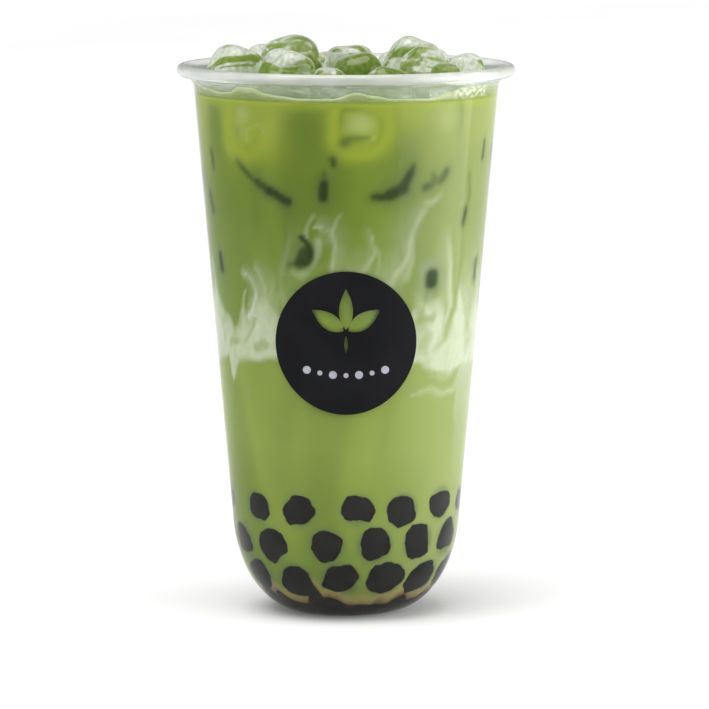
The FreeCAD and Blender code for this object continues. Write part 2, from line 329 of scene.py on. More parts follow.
# painted shade in the gaps between ice cubes at the wall: azimuth, height, half length, half width, tilt from
# upright, strength
PAINTED_SHADE_SPOTS = [
    (-66, 129.6, 2.6, 0.6, -10, 0.7), (-71, 117.4, 2.4, 0.9, -22, 0.75), (-66, 100.6, 2.0, 1.0, -6, 0.95),
    (-42, 126.4, 2.2, 0.6, -56, 0.7), (-33, 122.9, 3.6, 0.95, -60, 0.85), (-28, 120.9, 3.2, 1.15, -64, 1.0),
    (-46.5, 129.0, 1.0, 0.8, -50, 0.5),
    (-5, 131.1, 0.8, 0.75, -20, 0.8), (-8.8, 126.4, 1.2, 0.6, 0, 0.5), (-9, 122.6, 1.9, 1.15, 0, 1.0),
    (-17.8, 104.8, 0.8, 1.5, 30, 0.9), (-22.4, 102.2, 1.0, 0.8, 84, 0.5),
    (14.5, 121.2, 2.2, 0.85, 88, 1.0), (20.6, 122.4, 2.2, 1.6, 66, 0.95), (24.2, 125.0, 2.4, 1.25, 30, 0.95),
    (26.6, 128.0, 1.4, 0.6, 20, 0.7), (34.6, 123.6, 1.2, 1.0, 70, 0.6), (38.6, 125.4, 1.6, 0.8, -50, 0.5),
    (42.6, 126.2, 1.2, 1.0, 30, 0.65),
    (69.5, 132.0, 2.2, 0.6, 5, 0.85), (59, 122.2, 3.4, 0.55, -4, 0.32), (57, 114.2, 1.9, 0.75, 18, 0.8),
    (39, 97.6, 0.9, 1.9, 0, 1.0), (72, 98.2, 2.2, 0.85, 4, 0.75),
]
# painted shade drawn out into lines, as the strands are
PAINTED_SHADE_LINES = [([(-18.2, 109.8), (-15.6, 108), (-14.6, 105.6), (-16, 103.6), (-20, 102.4)], 0.8, 1.9, 1.0, 0)]
# tints round ice that lies under the surface: azimuth, height, half width, half height, strength
LIME = [
    (5.5, 139.6, 13.5, 12, 0.6), (-42.5, 139.5, 11.5, 12, 0.6), (-76, 142, 5, 7, 0.5),
    (26, 143.5, 10, 6, 0.5),
]
DEEP = [(-61, 138, 7, 14, 0.9), (-15, 138, 10, 17, 1.0), (-11, 124, 11, 11, 0.5), (23, 130, 10, 8, 0.35)]
# the two smallest pale spots, at 8 and 11 degrees, are painted highlights on the ice
PALE = [
    (-43, 143.2, 3.8, 4.2, 0.65), (-45, 139.0, 3.2, 4.4, 0.4), (5.6, 141.2, 6.2, 4.8, 0.85),
    (43, 142, 8, 6, 0.6), (8, 136.5, 0.9, 0.6, 1.0), (11, 137.7, 0.8, 0.8, 1.0),
]
LIME_RINGS = [
    ([(-4.2, 144.5), (-5.2, 140), (-3.6, 135.6), (2, 132.8), (8, 133), (14.4, 135.2), (17, 140),
      (15.8, 144.5)], 2.3, 2.3, 0.9, 0),
    ([(-50.5, 144), (-52.5, 139), (-49.5, 133.5), (-42, 131.6), (-35, 134.5), (-31, 139), (-29.5, 144)],
     2.6, 2.6, 0.75, 0),
]
OUTLINES = [
    ([(-1.6, 141), (-1.8, 143.8), (0, 145), (4, 145.2), (8, 144.8), (12, 143.6)], 0.5, 0.4, 0.42, 0),
    ([(-1, 135.8), (1, 136.8), (4, 137.3), (8, 137.6)], 1.6, 1.0, 1.0, 0),
    ([(49.8, 144.8), (50.2, 142), (50, 138.8)], 0.7, 0.7, 0.7, -1),
    ([(-46, 138.8), (-46.4, 136)], 1.1, 0.8, 0.4, 0),
    ([(13.4, 142.5), (14, 139.6), (12.6, 137)], 0.6, 0.5, 0.3, 0),
]
# painted highlights: bright lines round the ice under the surface, added to the pale mark
GLINTS = [([(-42, 135.5), (-41.4, 138.6), (-37.4, 139.9), (-33.8, 139.3), (-33, 137.6)], 0.45, 0.35, 0.6, 0),
          ([(-54, 134), (-50, 130.6), (-46, 129.4)], 0.5, 0.5, 0.35, 0)]


def wall_field(azimuth, z, cell, seed):
    """Smooth random field on the wall, from -1 to 1, that closes on itself round the cup."""
    around = max(3, round(2 * math.pi * 38.0 / cell))
    rows = int(CUP_HEIGHT / cell) + 4
    lattice = np.random.default_rng(seed).uniform(-1, 1, (rows, around))
    across = (azimuth / 360.0 % 1.0) * around
    up = np.clip(z / cell, 0, rows - 2.001)
    i, j = across.astype(int), up.astype(int)
    s, t = across - i, up - j
    s, t = (w * w * w * (w * (w * 6 - 15) + 10) for w in (s, t))
    i, k = i % around, (i + 1) % around
    low = lattice[j, i] * (1 - s) + lattice[j, k] * s
    high = lattice[j + 1, i] * (1 - s) + lattice[j + 1, k] * s
    return low * (1 - t) + high * t


def layered(azimuth, z, cell, seed):
    """Three sizes of wall_field added up, still about -1 to 1."""
    fields = (wall_field(azimuth, z, cell / 2 ** n, seed + n) * 0.55 ** n for n in range(3))
    return sum(fields) / 1.6


def step(value, low, high):
    share = np.clip((value - low) / (high - low), 0, 1)
    return share * share * (3 - 2 * share)


def turned_by(azimuth, middle):
    """Degrees from middle to azimuth, the short way round."""
    return (azimuth - middle + 180.0) % 360.0 - 180.0


def smooth_line(points, steps=7):
    """Catmull-Rom curve through the points, with the share of its length at each new point."""
    points = np.asarray(points, float)
    padded = np.vstack([2 * points[0] - points[1], points, 2 * points[-1] - points[-2]])
    line = []
    for a, b, c, d in zip(padded, padded[1:], padded[2:], padded[3:]):
        for t in np.linspace(0, 1, steps, endpoint=False):
            line.append(0.5 * (2 * b + (c - a) * t + (2 * a - 5 * b + 4 * c - d) * t ** 2
                               + (3 * b - a - 3 * c + d) * t ** 3))
    line.append(points[-1])
    return np.asarray(line)


def strand_field(azimuth, z, radius, strand):
    """Milk of one strand: dense on its line and thinner to its end, with a soft veil on one side."""
    points, start_width, end_width, strength, side = strand
    line = smooth_line(points)
    best = np.zeros_like(z)
    for k in range(len(line) - 1):
        (a0, z0), (a1, z1) = line[k], line[k + 1]
        to_mm = math.radians(1.0) * radius
        px, pz = turned_by(azimuth, a0) * to_mm, z - z0
        dx, dz = (a1 - a0) * to_mm, z1 - z0
        share = np.clip((px * dx + pz * dz) / (dx * dx + dz * dz + 1e-9), 0, 1)
        distance = np.hypot(px - share * dx, pz - share * dz)
        along = (k + share) / (len(line) - 1)
        width = start_width + (end_width - start_width) * along
        amount = np.exp(-(distance / width) ** 2)
        if side:
            veil = 0.5 * np.exp(-(distance / (width * 4.5)) ** 2) * ((px - share * dx) * side > 0)
            amount = np.maximum(amount, veil)
        best = np.maximum(best, amount * (1 - 0.3 * along))
    return best * strength


def tilted_spot_field(azimuth, z, radius, spot):
    middle, height, half_length, half_width, tilt, strength = spot
    px, pz = turned_by(azimuth, middle) * math.radians(1.0) * radius, z - height
    lean = math.radians(tilt)
    along = px * math.sin(lean) + pz * math.cos(lean)
    across = px * math.cos(lean) - pz * math.sin(lean)
    reach = np.hypot(np.maximum(np.abs(along) - half_length, 0), across)
    return strength * (1 - step(reach, half_width * 0.65, half_width * 1.6))


def patch_field(azimuth, z, radius, patches):
    """Strongest of some soft oval patches."""
    best = np.zeros_like(z)
    for middle, height, half_width, half_height, strength in patches:
        across = turned_by(azimuth, middle) * math.radians(1.0) * radius / half_width
        share = np.hypot(across, (z - height) / half_height)
        best = np.maximum(best, strength * (1 - step(share, 0.15, 1.0)))
    return best


def edge_line(azimuth, spots, seed, swing):
    """Height of an edge of the band at each azimuth; the listed spots go on as random ones behind."""
    draw = np.random.default_rng(seed)
    back = [(a + draw.uniform(-2, 2), spots[0][1] + draw.uniform(-swing, swing))
            for a in np.arange(92, 270, 7.0)]
    line = np.array(list(spots) + back)
    at = (azimuth - line[0, 0]) % 360 + line[0, 0]
    return np.interp(at, np.append(line[:, 0], line[0, 0] + 360), np.append(line[:, 1], line[0, 1]))


def random_strands(seed):
    """Strands for the sides that the listed ones leave bare, drawn up from the band of milk."""
    draw = np.random.default_rng(seed)
    made = []
    for azimuth in np.arange(90, 270, 11.0):
        start = azimuth + draw.uniform(-3, 3)
        height = 88 + draw.uniform(3, 30) * draw.uniform(0.3, 1.0)
        lean = draw.uniform(-9, 9)
        middle = (start + lean * 0.3 + draw.uniform(-3, 3), (84 + height) / 2)
        made.append(([(start, 82), middle, (start + lean, height)], draw.uniform(1.0, 3.6), 0.5,
                     draw.uniform(0.4, 0.9), int(draw.integers(-1, 2))))
        if draw.uniform() < 0.4:
            made.append(([(start, 76), (start + draw.uniform(-3, 3), 75 - draw.uniform(4, 9))], 2.4, 0.9,
                         0.6, 0))
    return made


# more spots of painted shade between ice cubes, at random, for the sides that the listed ones leave bare
def random_painted_shade(seed):
    draw = np.random.default_rng(seed)
    return [(draw.uniform(85, 275), draw.uniform(97, 134), draw.uniform(1.0, 4.2), draw.uniform(0.6, 1.5),
             draw.uniform(-80, 80), draw.uniform(0.4, 1.0)) for _ in range(22)]


def random_cubes(seed):
    """Tints for ice under the surface on the sides that the listed ones leave bare."""
    draw = np.random.default_rng(seed)
    lime, deep, pale, outlines = [], [], [], []
    for azimuth in np.arange(84, 275, 33.0):
        a, z = azimuth + draw.uniform(-6, 6), 140.5 + draw.uniform(-2.5, 1.5)
        half = draw.uniform(4.2, 6.0)
        lime.append((a, z, half * 2.6, half * 2.3, draw.uniform(0.6, 1.0)))
        pale.append((a, z + 1, half * 1.1, half * 0.9, draw.uniform(0.4, 0.8)))
        deep.append((a + 17, 137, 6.5, 12, draw.uniform(0.5, 0.9)))
        turn = math.degrees(half / 42.0)
        outlines.append(([(a - turn, z - 3), (a - 0.3 * turn, z - half + 1), (a + turn, z - 3)], 1.3, 0.6,
                         0.6, 0))
        outlines.append(([(a - turn, z + 2), (a, z + half - 1), (a + turn, z + 2)], 0.5, 0.5, 0.4, 0))
    return lime, deep, pale, outlines


def milk_amount(azimuth, z, radius):
    """How much unmixed milk shows at the wall, 0 to 1."""
    a = azimuth + layered(azimuth, z, 6.0, 11) * 1.5
    h = z + layered(azimuth, z, 6.0, 21) * 1.3
    fold_a = azimuth + 7.0 * layered(azimuth, z, 9.0, 31)
    fold_z = z + 6.0 * layered(azimuth, z, 9.0, 33)
    folds = 1 - np.abs(layered(fold_a, fold_z, 6.5, 35)) * 2.2
    below_top = edge_line(azimuth + layered(azimuth, z, 7.0, 43) * 1.2, MILK_TOP, 51, 7.0) - h
    above_bottom = h - edge_line(azimuth, MILK_BOTTOM, 53, 2.0)
    band = step(below_top, -0.7, 1.6) * step(above_bottom, -1.2, 1.5)
    band *= (0.58 + 0.42 * step(below_top, 0.0, 8.0)) * (0.78 + 0.22 * folds)
    strands = np.zeros_like(z)
    for strand in STRANDS + random_strands(7):
        strands = np.maximum(strands, strand_field(a, h, radius, strand))
    strands *= 0.84 + 0.2 * folds
    milk = np.maximum(band, strands) + 0.3 * band * strands
    for gap in GAPS:
        milk = milk * (1 - tilted_spot_field(a, h, radius, gap))
    return np.clip(milk, 0, 1)


def drink_marks(azimuth, z):
    """Every mark on the drink's skin, by name, each 0 to 1."""
    radius = wall_radius(z, WALL)
    near_a = azimuth + layered(azimuth, z, 5.0, 61) * 0.55
    near_z = z + layered(azimuth, z, 5.0, 71) * 0.45
    # the spots and lines below are painted shade in the gaps between ice cubes, each with a wider, softer
    # painted shade round it
    painted_shade, soft_painted_shade = np.zeros_like(z), np.zeros_like(z)
    for spot in PAINTED_SHADE_SPOTS + random_painted_shade(9):
        painted_shade = np.maximum(painted_shade, tilted_spot_field(near_a, near_z, radius, spot))
        wide = spot[:3] + (spot[3] * 2.4,) + spot[4:]
        soft_painted_shade = np.maximum(soft_painted_shade, tilted_spot_field(near_a, near_z, radius, wide))
    for line in PAINTED_SHADE_LINES:
        painted_shade = np.maximum(painted_shade, step(strand_field(near_a, near_z, radius, line), 0.2, 0.65))
    lime, deep, pale, outlines = random_cubes(17)
    outline, glint, lime_ring = np.zeros_like(z), np.zeros_like(z), np.zeros_like(z)
    for line in LIME_RINGS:
        lime_ring = np.maximum(lime_ring, strand_field(near_a, near_z, radius, line))
    for line in OUTLINES + outlines:
        outline = np.maximum(outline, strand_field(near_a, near_z, radius, line))
    for line in GLINTS:
        glint = np.maximum(glint, strand_field(near_a, near_z, radius, line))
    surface = 0.7 * step(z, drink_level - 3.2, drink_level - 0.8)
    # painted sheen: the drink is made paler on its right side, where the soft box on the right lays its broad
    # highlight
    painted_right_sheen = step(turned_by(azimuth, 55), -52, 4) * (1 - step(turned_by(azimuth, 55), 30, 75))
    return {"milk": milk_amount(azimuth, z, radius), "painted_right_sheen": painted_right_sheen, "painted_shade": painted_shade,
            "soft_painted_shade": soft_painted_shade,
            "lime": np.maximum(np.maximum(patch_field(near_a, near_z, radius, LIME + lime), surface),
                               lime_ring),
            "deep": patch_field(near_a, near_z, radius, DEEP + deep),
            # the pale mark also carries painted highlights: the glint lines and two small spots
            "pale": np.maximum(patch_field(near_a, near_z, radius, PALE + pale), glint), "outline": outline}


def skin_path(reach, top, rows):
    """(radius, z) up the inside of the cup, pushed into its wall by reach, evenly spaced."""
    bowl = bowl_points(WALL - reach, FLOOR_HEIGHT - reach, 60)
    line = np.array([(0.0, FLOOR_HEIGHT - reach)] + bowl + [(wall_radius(top, WALL - reach), top)])
    lengths = np.concatenate([[0], np.cumsum(np.hypot(*np.diff(line, axis=0).T))])
    even = np.linspace(0, lengths[-1], rows)
    return np.column_stack([np.interp(even, lengths, line[:, k]) for k in (0, 1)])


ice_nodes = sorted(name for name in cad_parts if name.startswith("ice_"))


def melted(name):
    """A cube of the frame as it looks half melted: rounder, with shallow dents, no larger."""
    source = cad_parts[name]
    work = bpy.data.objects.new("work", source.data.copy())
    bpy.context.scene.collection.objects.link(work)
    remesh = work.modifiers.new("even", "REMESH")
    remesh.mode = "VOXEL"
    remesh.voxel_size = 0.55 * MM
    rounder = work.modifiers.new("rounder", "SMOOTH")
    rounder.factor = 0.8
    rounder.iterations = 9
    mesh = bpy.data.meshes.new_from_object(work.evaluated_get(bpy.context.evaluated_depsgraph_get()))
    bpy.data.objects.remove(work)
    mesh.materials.clear()
    points = np.empty(len(mesh.vertices) * 3)
    mesh.vertices.foreach_get("co", points)
    points = points.reshape(-1, 3) / MM
    centre = points.mean(axis=0)
    outward = points - centre
    distance = np.linalg.norm(outward, axis=1, keepdims=True)
    draw = np.random.default_rng(sum(map(ord, name)))
    dent = np.zeros(len(points))
    for waves, depth in ((0.32, 0.42), (0.55, 0.26), (1.0, 0.09)):
        for _ in range(4):
            direction = draw.normal(size=3)
            direction *= waves / np.linalg.norm(direction)
            dent += depth * np.sin(outward @ direction + draw.uniform(0, 6.3)) / 2
    low, high = np.array(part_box(name)) / MM
    points = centre + outward * (1 + (dent[:, None] - 0.1) / distance)
    least, most = points.min(axis=0), points.max(axis=0)
    filled = low + (points - least) * (high - low) / (most - least)
    points += (filled - points) * 0.75
    points = np.clip(points, low + 0.02, high - 0.02)
    mesh.vertices.foreach_set("co", (points * MM).ravel())
    mesh.update()
    mesh.shade_smooth()
    mesh.name = name
    return mesh


ice_meshes = {name: melted(name) for name in ice_nodes}


def bottom_under(tree, x, y):
    """Height of the underside of a closed mesh over a point of the plane, or None beside it."""
    hit = tree.ray_cast(Vector((x * MM, y * MM, 0.1)), Vector((0, 0, 1)))
    return None if hit[0] is None else hit[0].z / MM


def drink_top():
    """Rings of the drink's surface from the wall inwards, sunk to a pocket inside each ice cube."""
    trees = []
    for name in ice_nodes:
        work = bmesh.new()
        work.from_mesh(ice_meshes[name])
        trees.append((BVHTree.FromBMesh(work), np.array(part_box(name)) / MM))
        work.free()
    edge = wall_radius(drink_level, WALL - DRINK_REACH)
    turns = np.linspace(0, 2 * math.pi, DRINK_STEPS, endpoint=False)
    rings = []
    for row in range(1, TOP_ROWS):
        radius = edge * (1 - row / TOP_ROWS)
        ring = []
        for turn in turns:
            x, y = radius * math.sin(turn), -radius * math.cos(turn)
            z = drink_level - 0.02
            for tree_of_ice, (low, high) in trees:
                if low[0] < x < high[0] and low[1] < y < high[1]:
                    start = Vector((x * MM, y * MM, drink_level * MM))
                    near = tree_of_ice.find_nearest(start)
                    inside = (start - near[0]).dot(near[1]) < 0
                    if inside and near[3] > 0.7 * MM:
                        under = bottom_under(tree_of_ice, x, y)
                        if under is not None:
                            drop = min(1.0, (near[3] / MM - 0.7) / 1.6)
                            z = min(z, drink_level + (under + 0.3 - drink_level) * drop)
            ring.append((x, y, z))
        rings.append(ring)
    return rings


skin_line = skin_path(DRINK_REACH, drink_level, DRINK_ROWS)
drink_rings = spun(skin_line[1:], DRINK_STEPS) + drink_top()
centre_z = drink_rings[-1][0][2]
drink_mesh = skin("drink_body", drink_rings, (0, 0, skin_line[0][1]), (0, 0, centre_z))
coordinates = np.empty(len(drink_mesh.vertices) * 3)
drink_mesh.vertices.foreach_get("co", coordinates)
coordinates = coordinates.reshape(-1, 3) / MM
drink_azimuth = np.degrees(np.arctan2(coordinates[:, 0], -coordinates[:, 1]))
drink_height = coordinates[:, 2]
marks = drink_marks(drink_azimuth, drink_height)

# ---------------------------------------------------------------------------------------
# The tapioca pearls.  Cooked balls of tapioca, about 10 mm across, soft and a little
# uneven, that lie in three rows on the bottom and flatten where they press on the wall.
# ---------------------------------------------------------------------------------------
# rows of pearls: height, size, how deep the wall flattens them, azimuths
PEARL_ROWS = [
    (32.6, 5.8, 2.4, [-84, -50.5, -24.5, 5.8, 29.5, 55.5, 82, 107, 131, 158, 184, 210, 238, 259]),
    (22.4, 6.5, 2.65, [-67, -42.5, -10, 15, 40.5, 65.5, 92, 118, 145, 171, 199, 226, 252, 273]),
    (12.2, 6.8, 2.8, [-60, -30.5, -3.5, 23.5, 50.5, 78, 108, 139, 168, 199, 231, 264]),
]
PEARL_REACH = 0.22
PEARL_CORNERS = 9.0         # higher is more angular
SYRUP_REACH = 0.17


def inside_frame(z):
    """Point of the cup's inner wall at height z, as a radius, and its outward normal (radial, up)."""
    height = BOWL_HEIGHT - FLOOR_HEIGHT
    width = BOWL_WIDTH - WALL
    bowl = bowl_points(WALL, FLOOR_HEIGHT, 2)
    if z >= bowl[-1][1]:
        lean = math.atan(TAPER)
        return wall_radius(z, WALL), (math.cos(lean), -math.sin(lean))
    rise = (z - BOWL_HEIGHT) / height
    across = math.sqrt(1 - rise * rise)
    normal = Vector((across / width, rise / height)).normalized()
    return bowl[0][0] + width * across, (normal[0], normal[1])


def pearl(index, azimuth, z, size, press):
    """One pearl's points: an uneven ball, cut flat where it meets the wall."""
    draw = np.random.default_rng(500 + index)
    work = bmesh.new()
    bmesh.ops.create_icosphere(work, subdivisions=4, radius=1.0)
    ball = np.array([v.co for v in work.verts])
    flats = draw.normal(size=(20, 3))
    flats /= np.linalg.norm(flats, axis=1)[:, None] * draw.uniform(0.90, 1.0, (20, 1))
    pressed = (np.maximum(ball @ flats.T, 0) ** PEARL_CORNERS).sum(axis=1) ** (1 / PEARL_CORNERS)
    ball *= np.minimum(1.04, 1 / np.maximum(pressed, 0.9))[:, None] * size
    ball *= np.array([1, 1, draw.uniform(0.9, 1.0)])
    for waves, depth in ((1.4, 0.05), (2.4, 0.035), (4.5, 0.03)):
        for _ in range(4):
            direction = draw.normal(size=3)
            direction *= waves / np.linalg.norm(direction)
            ball *= 1 + depth / size * 1.6 * np.sin(ball @ direction + draw.uniform(0, 6.3))[:, None]
    radius, (out, up) = inside_frame(z)
    turn = math.radians(azimuth)
    radial = np.array([math.sin(turn), -math.cos(turn), 0])
    normal = radial * out + np.array([0, 0, up])
    middle = radial * radius + np.array([0, 0, z]) - normal * (size - press)
    points = ball + middle
    around = np.hypot(points[:, 0], points[:, 1])
    for k, point in enumerate(points):
        limit, _ = inside_frame(min(max(point[2], FLOOR_HEIGHT + 0.01), 140))
        excess = around[k] - limit - PEARL_REACH
        if excess > 0:
            points[k, :2] *= (limit + PEARL_REACH) / around[k]
    for vertex, point in zip(work.verts, points):
        vertex.co = point * MM
    mesh = bpy.data.meshes.new(f"pearl_{index:02d}")
    work.to_mesh(mesh)
    work.free()
    mesh.shade_smooth()
    return mesh


tapioca, tree = new_finish("tapioca")
mottle = ramp(tree, soft_noise(tree, 260.0, 4.0, warp=0.6),
              [(0.3, (0.005, 0.0048, 0.0045)), (0.7, (0.012, 0.0115, 0.0105))])
tree_bump = node(tree, "Bump", {"Height": soft_noise(tree, 700.0, 3.0), "Strength": 0.15, "Distance": 0.0003})
pearl_shader = node(tree, "BsdfPrincipled", {
    "Base Color": mottle, "Roughness": 0.4, "Specular IOR Level": 0.03, "Normal": tree_bump.outputs[0]})
node(tree, "OutputMaterial", {"Surface": pearl_shader.outputs[0]})

pearl_spots = [(azimuth, z, size, press) for z, size, press, azimuths in PEARL_ROWS for azimuth in azimuths]
shake = np.random.default_rng(77)
halo = np.zeros(len(drink_height))
for index, (azimuth, z, size, press) in enumerate(pearl_spots):
    height = z + shake.uniform(-0.8, 0.8)
    grown = size * shake.uniform(0.94, 1.06)
    piece = place(f"pearl_{index:02d}", pearl(index, azimuth, height, grown, press), tapioca)
    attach(piece, "root")
    near = np.hypot(turned_by(drink_azimuth, azimuth) * math.radians(1.0) * inside_frame(height)[0],
                    drink_height - height)
    patch = math.sqrt(2 * grown * press - press * press)
    halo = np.maximum(halo, 1 - step(near, patch - 1.0, patch + 1.2))
marks["halo"] = halo

# ---------------------------------------------------------------------------------------
# The syrup.  Brown sugar syrup, nearly black, that has run to the floor of the cup and
# creeps up its wall between the pearls, with a thin caramel edge where it mixes.
# ---------------------------------------------------------------------------------------
SYRUP_LEVEL = 4.8
# azimuth, height and half width in degrees of the peaks where the syrup stands up against the wall
SYRUP_PEAKS = [
    (-64, 7.6, 9), (-50, 7.0, 7), (-20.5, 9.8, 5.5), (-12, 6.4, 8), (42, 6.2, 7), (72, 6.6, 12),
    (106, 8.6, 8), (148, 7.2, 10), (187, 9.4, 7), (226, 7.8, 9), (262, 8.8, 8),
]
SYRUP_STEPS = 288


def syrup_edge(azimuth):
    """Height of the syrup's edge on the wall."""
    azimuth = np.asarray(azimuth, float)
    edge = np.full_like(azimuth, SYRUP_LEVEL)
    for middle, top, half in SYRUP_PEAKS:
        rise = (top + 0.8 - SYRUP_LEVEL) * np.exp(-np.abs(turned_by(azimuth, middle) / half) ** 2)
        edge = np.maximum(edge, SYRUP_LEVEL + rise)
    return edge + 0.4 * wall_field(azimuth, edge * 0 + 5.0, 3.0, 81)


def syrup_rings():
    azimuths = np.linspace(0, 360, SYRUP_STEPS, endpoint=False)
    tops = syrup_edge(azimuths)
    full = skin_path(SYRUP_REACH, 20.0, 200)
    rings = []
    for share in np.linspace(0.12, 1.0, 16):
        ring = []
        for azimuth, top in zip(azimuths, tops):
            z_index = np.interp(top, full[:, 1], np.arange(len(full)))
            radius, z = (np.interp(z_index * share, np.arange(len(full)), full[:, k]) for k in (0, 1))
            turn = math.radians(azimuth)
            ring.append((radius * math.sin(turn), -radius * math.cos(turn), z))
        rings.append(ring)
    rim = np.array(rings[-1])
    for share in (0.9, 0.7, 0.4):
        inner = rim * [share, share, 1]
        inner[:, 2] = SYRUP_LEVEL * (1 - share) + rim[:, 2] * share - 0.4
        rings.append(inner.tolist())
    return rings


syrup_mesh = skin("syrup_layer", syrup_rings(), (0, 0, FLOOR_HEIGHT - SYRUP_REACH), (0, 0, SYRUP_LEVEL - 0.6))
brown_sugar, tree = new_finish("brown sugar syrup")
thick = ramp(tree, soft_noise(tree, 180.0, 3.0, warp=0.8),
             [(0.35, (0.009, 0.007, 0.006)), (0.7, (0.02, 0.014, 0.010))])
syrup_shader = node(tree, "BsdfPrincipled", {"Base Color": thick, "Roughness": 0.35,
                                             "Specular IOR Level": 0.05})
node(tree, "OutputMaterial", {"Surface": syrup_shader.outputs[0]})
syrup = place("syrup_layer", syrup_mesh, brown_sugar)
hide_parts("syrup")
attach(syrup, "root")
above = drink_height - syrup_edge(drink_azimuth) + 1.1 * layered(drink_azimuth, drink_height, 5.0, 91)
spread = (3.8 + 2.6 * np.abs(layered(drink_azimuth, drink_height * 0.3, 9.0, 95))
          + 2.4 * np.exp(-(turned_by(drink_azimuth, 38) / 14) ** 2))
marks["caramel"] = 1 - step(above, 0.2, spread)
marks["brown"] = 1 - step(above, -0.4, 0.45 * spread)

# The drink's own finish comes here, because its marks need the pearls and the syrup.
GREEN_BY_HEIGHT = [
    (0.05, (0.134, 0.188, 0.032)), (0.24, (0.155, 0.210, 0.036)), (0.34, (0.182, 0.244, 0.048)),
    (0.48, (0.170, 0.230, 0.042)), (0.62, (0.132, 0.190, 0.030)), (0.78, (0.108, 0.160, 0.018)),
    (0.87, (0.112, 0.163, 0.015)), (0.93, (0.165, 0.212, 0.020)), (1.0, (0.190, 0.234, 0.036)),
]
for name, values in marks.items():
    attribute = drink_mesh.attributes.new(name, "FLOAT", "POINT")
    attribute.data.foreach_set("value", np.ascontiguousarray(values, dtype=np.float32))


def mark(tree, name):
    return node(tree, "Attribute", attribute_name=name).outputs["Fac"]


latte, tree = new_finish("matcha latte")
place_in = node(tree, "TexCoord").outputs["Object"]
upward = node(tree, "SeparateXYZ", {0: place_in}).outputs["Z"]
drift = maths(tree, "MULTIPLY", maths(tree, "SUBTRACT", soft_noise(tree, 26.0, 3.0, (1, 1, 0.5), 0.5), 0.5),
              0.03)
share_up = maths(tree, "DIVIDE", maths(tree, "ADD", upward, drift), drink_level * MM)
green = ramp(tree, share_up, GREEN_BY_HEIGHT, smooth=False)
broad = ramp(tree, soft_noise(tree, 45.0, 2.0, (1, 1, 0.35), 0.8),
             [(0.3, (0.86, 0.87, 0.84)), (0.7, (1.12, 1.10, 1.14))])
green = blend_colour(tree, 1.0, green, broad, "MULTIPLY")
# the first of these blends is painted sheen, paler on the drink's right side
for name, cover, colour in (("painted_right_sheen", 0.5, (0.27, 0.30, 0.125)), ("deep", 0.75, (0.078, 0.130, 0.012)),
                            ("lime", 0.85, (0.245, 0.300, 0.026)),
                            # the pale blend also paints highlights on the ice
                            ("pale", 0.75, (0.30, 0.345, 0.135)), ("outline", 0.92, (0.070, 0.108, 0.018))):
    green = blend_colour(tree, maths(tree, "MULTIPLY", mark(tree, name), cover), green, colour)
wisp = maths(tree, "MULTIPLY", maths(tree, "SUBTRACT", soft_noise(tree, 260.0, 4.0, (1, 1, 0.5), 1.0), 0.5),
             0.4)
edge_of_milk = maths(tree, "MULTIPLY", mark(tree, "milk"), maths(tree, "SUBTRACT", 1.1, mark(tree, "milk")))
milk = maths(tree, "ADD", mark(tree, "milk"),
             maths(tree, "MULTIPLY", wisp, maths(tree, "MULTIPLY", edge_of_milk, 3.0)), True)
green = blend_colour(tree, milk, green, (0.40, 0.44, 0.325))
green = blend_colour(tree, maths(tree, "MULTIPLY", mark(tree, "halo"), 0.6), green, (0.075, 0.105, 0.052))
green = blend_colour(tree, maths(tree, "MULTIPLY", mark(tree, "caramel"), 0.85), green, (0.30, 0.225, 0.095))
green = blend_colour(tree, maths(tree, "MULTIPLY", mark(tree, "brown"), 0.85), green, (0.095, 0.052, 0.028))
# painted shade between the ice cubes: a soft wide darkening, then its dark core
green = blend_colour(tree, maths(tree, "MULTIPLY", mark(tree, "soft_painted_shade"), 0.4), green,
                     (0.060, 0.100, 0.022))
green = blend_colour(tree, maths(tree, "MULTIPLY", mark(tree, "painted_shade"), 0.97), green, (0.014, 0.029, 0.005))
body_shader = node(tree, "BsdfPrincipled", {"Base Color": green, "Roughness": 0.6, "Specular IOR Level": 0.0})
node(tree, "OutputMaterial", {"Surface": body_shader.outputs[0]})

latte_top, tree = new_finish("matcha latte surface")
froth = ramp(tree, soft_noise(tree, 140.0, 4.0, warp=0.6),
             [(0.35, (0.15, 0.22, 0.025)), (0.7, (0.24, 0.31, 0.05))])
top_bump = node(tree, "Bump", {"Height": soft_noise(tree, 120.0, 2.0), "Strength": 0.2, "Distance": 0.0008})
top_shader = node(tree, "BsdfPrincipled", {"Base Color": froth, "Roughness": 0.12, "IOR": 1.34,
                                           "Normal": top_bump.outputs[0]})
node(tree, "OutputMaterial", {"Surface": top_shader.outputs[0]})

drink = place("drink_body", drink_mesh, latte, latte_top)
for face in drink_mesh.polygons:
    height = face.center.z / MM
    if height > drink_level - 12 and face.center.xy.length / MM < wall_radius(height, WALL) - 0.5:
        face.material_index = 1
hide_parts("drink")
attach(drink, "root")

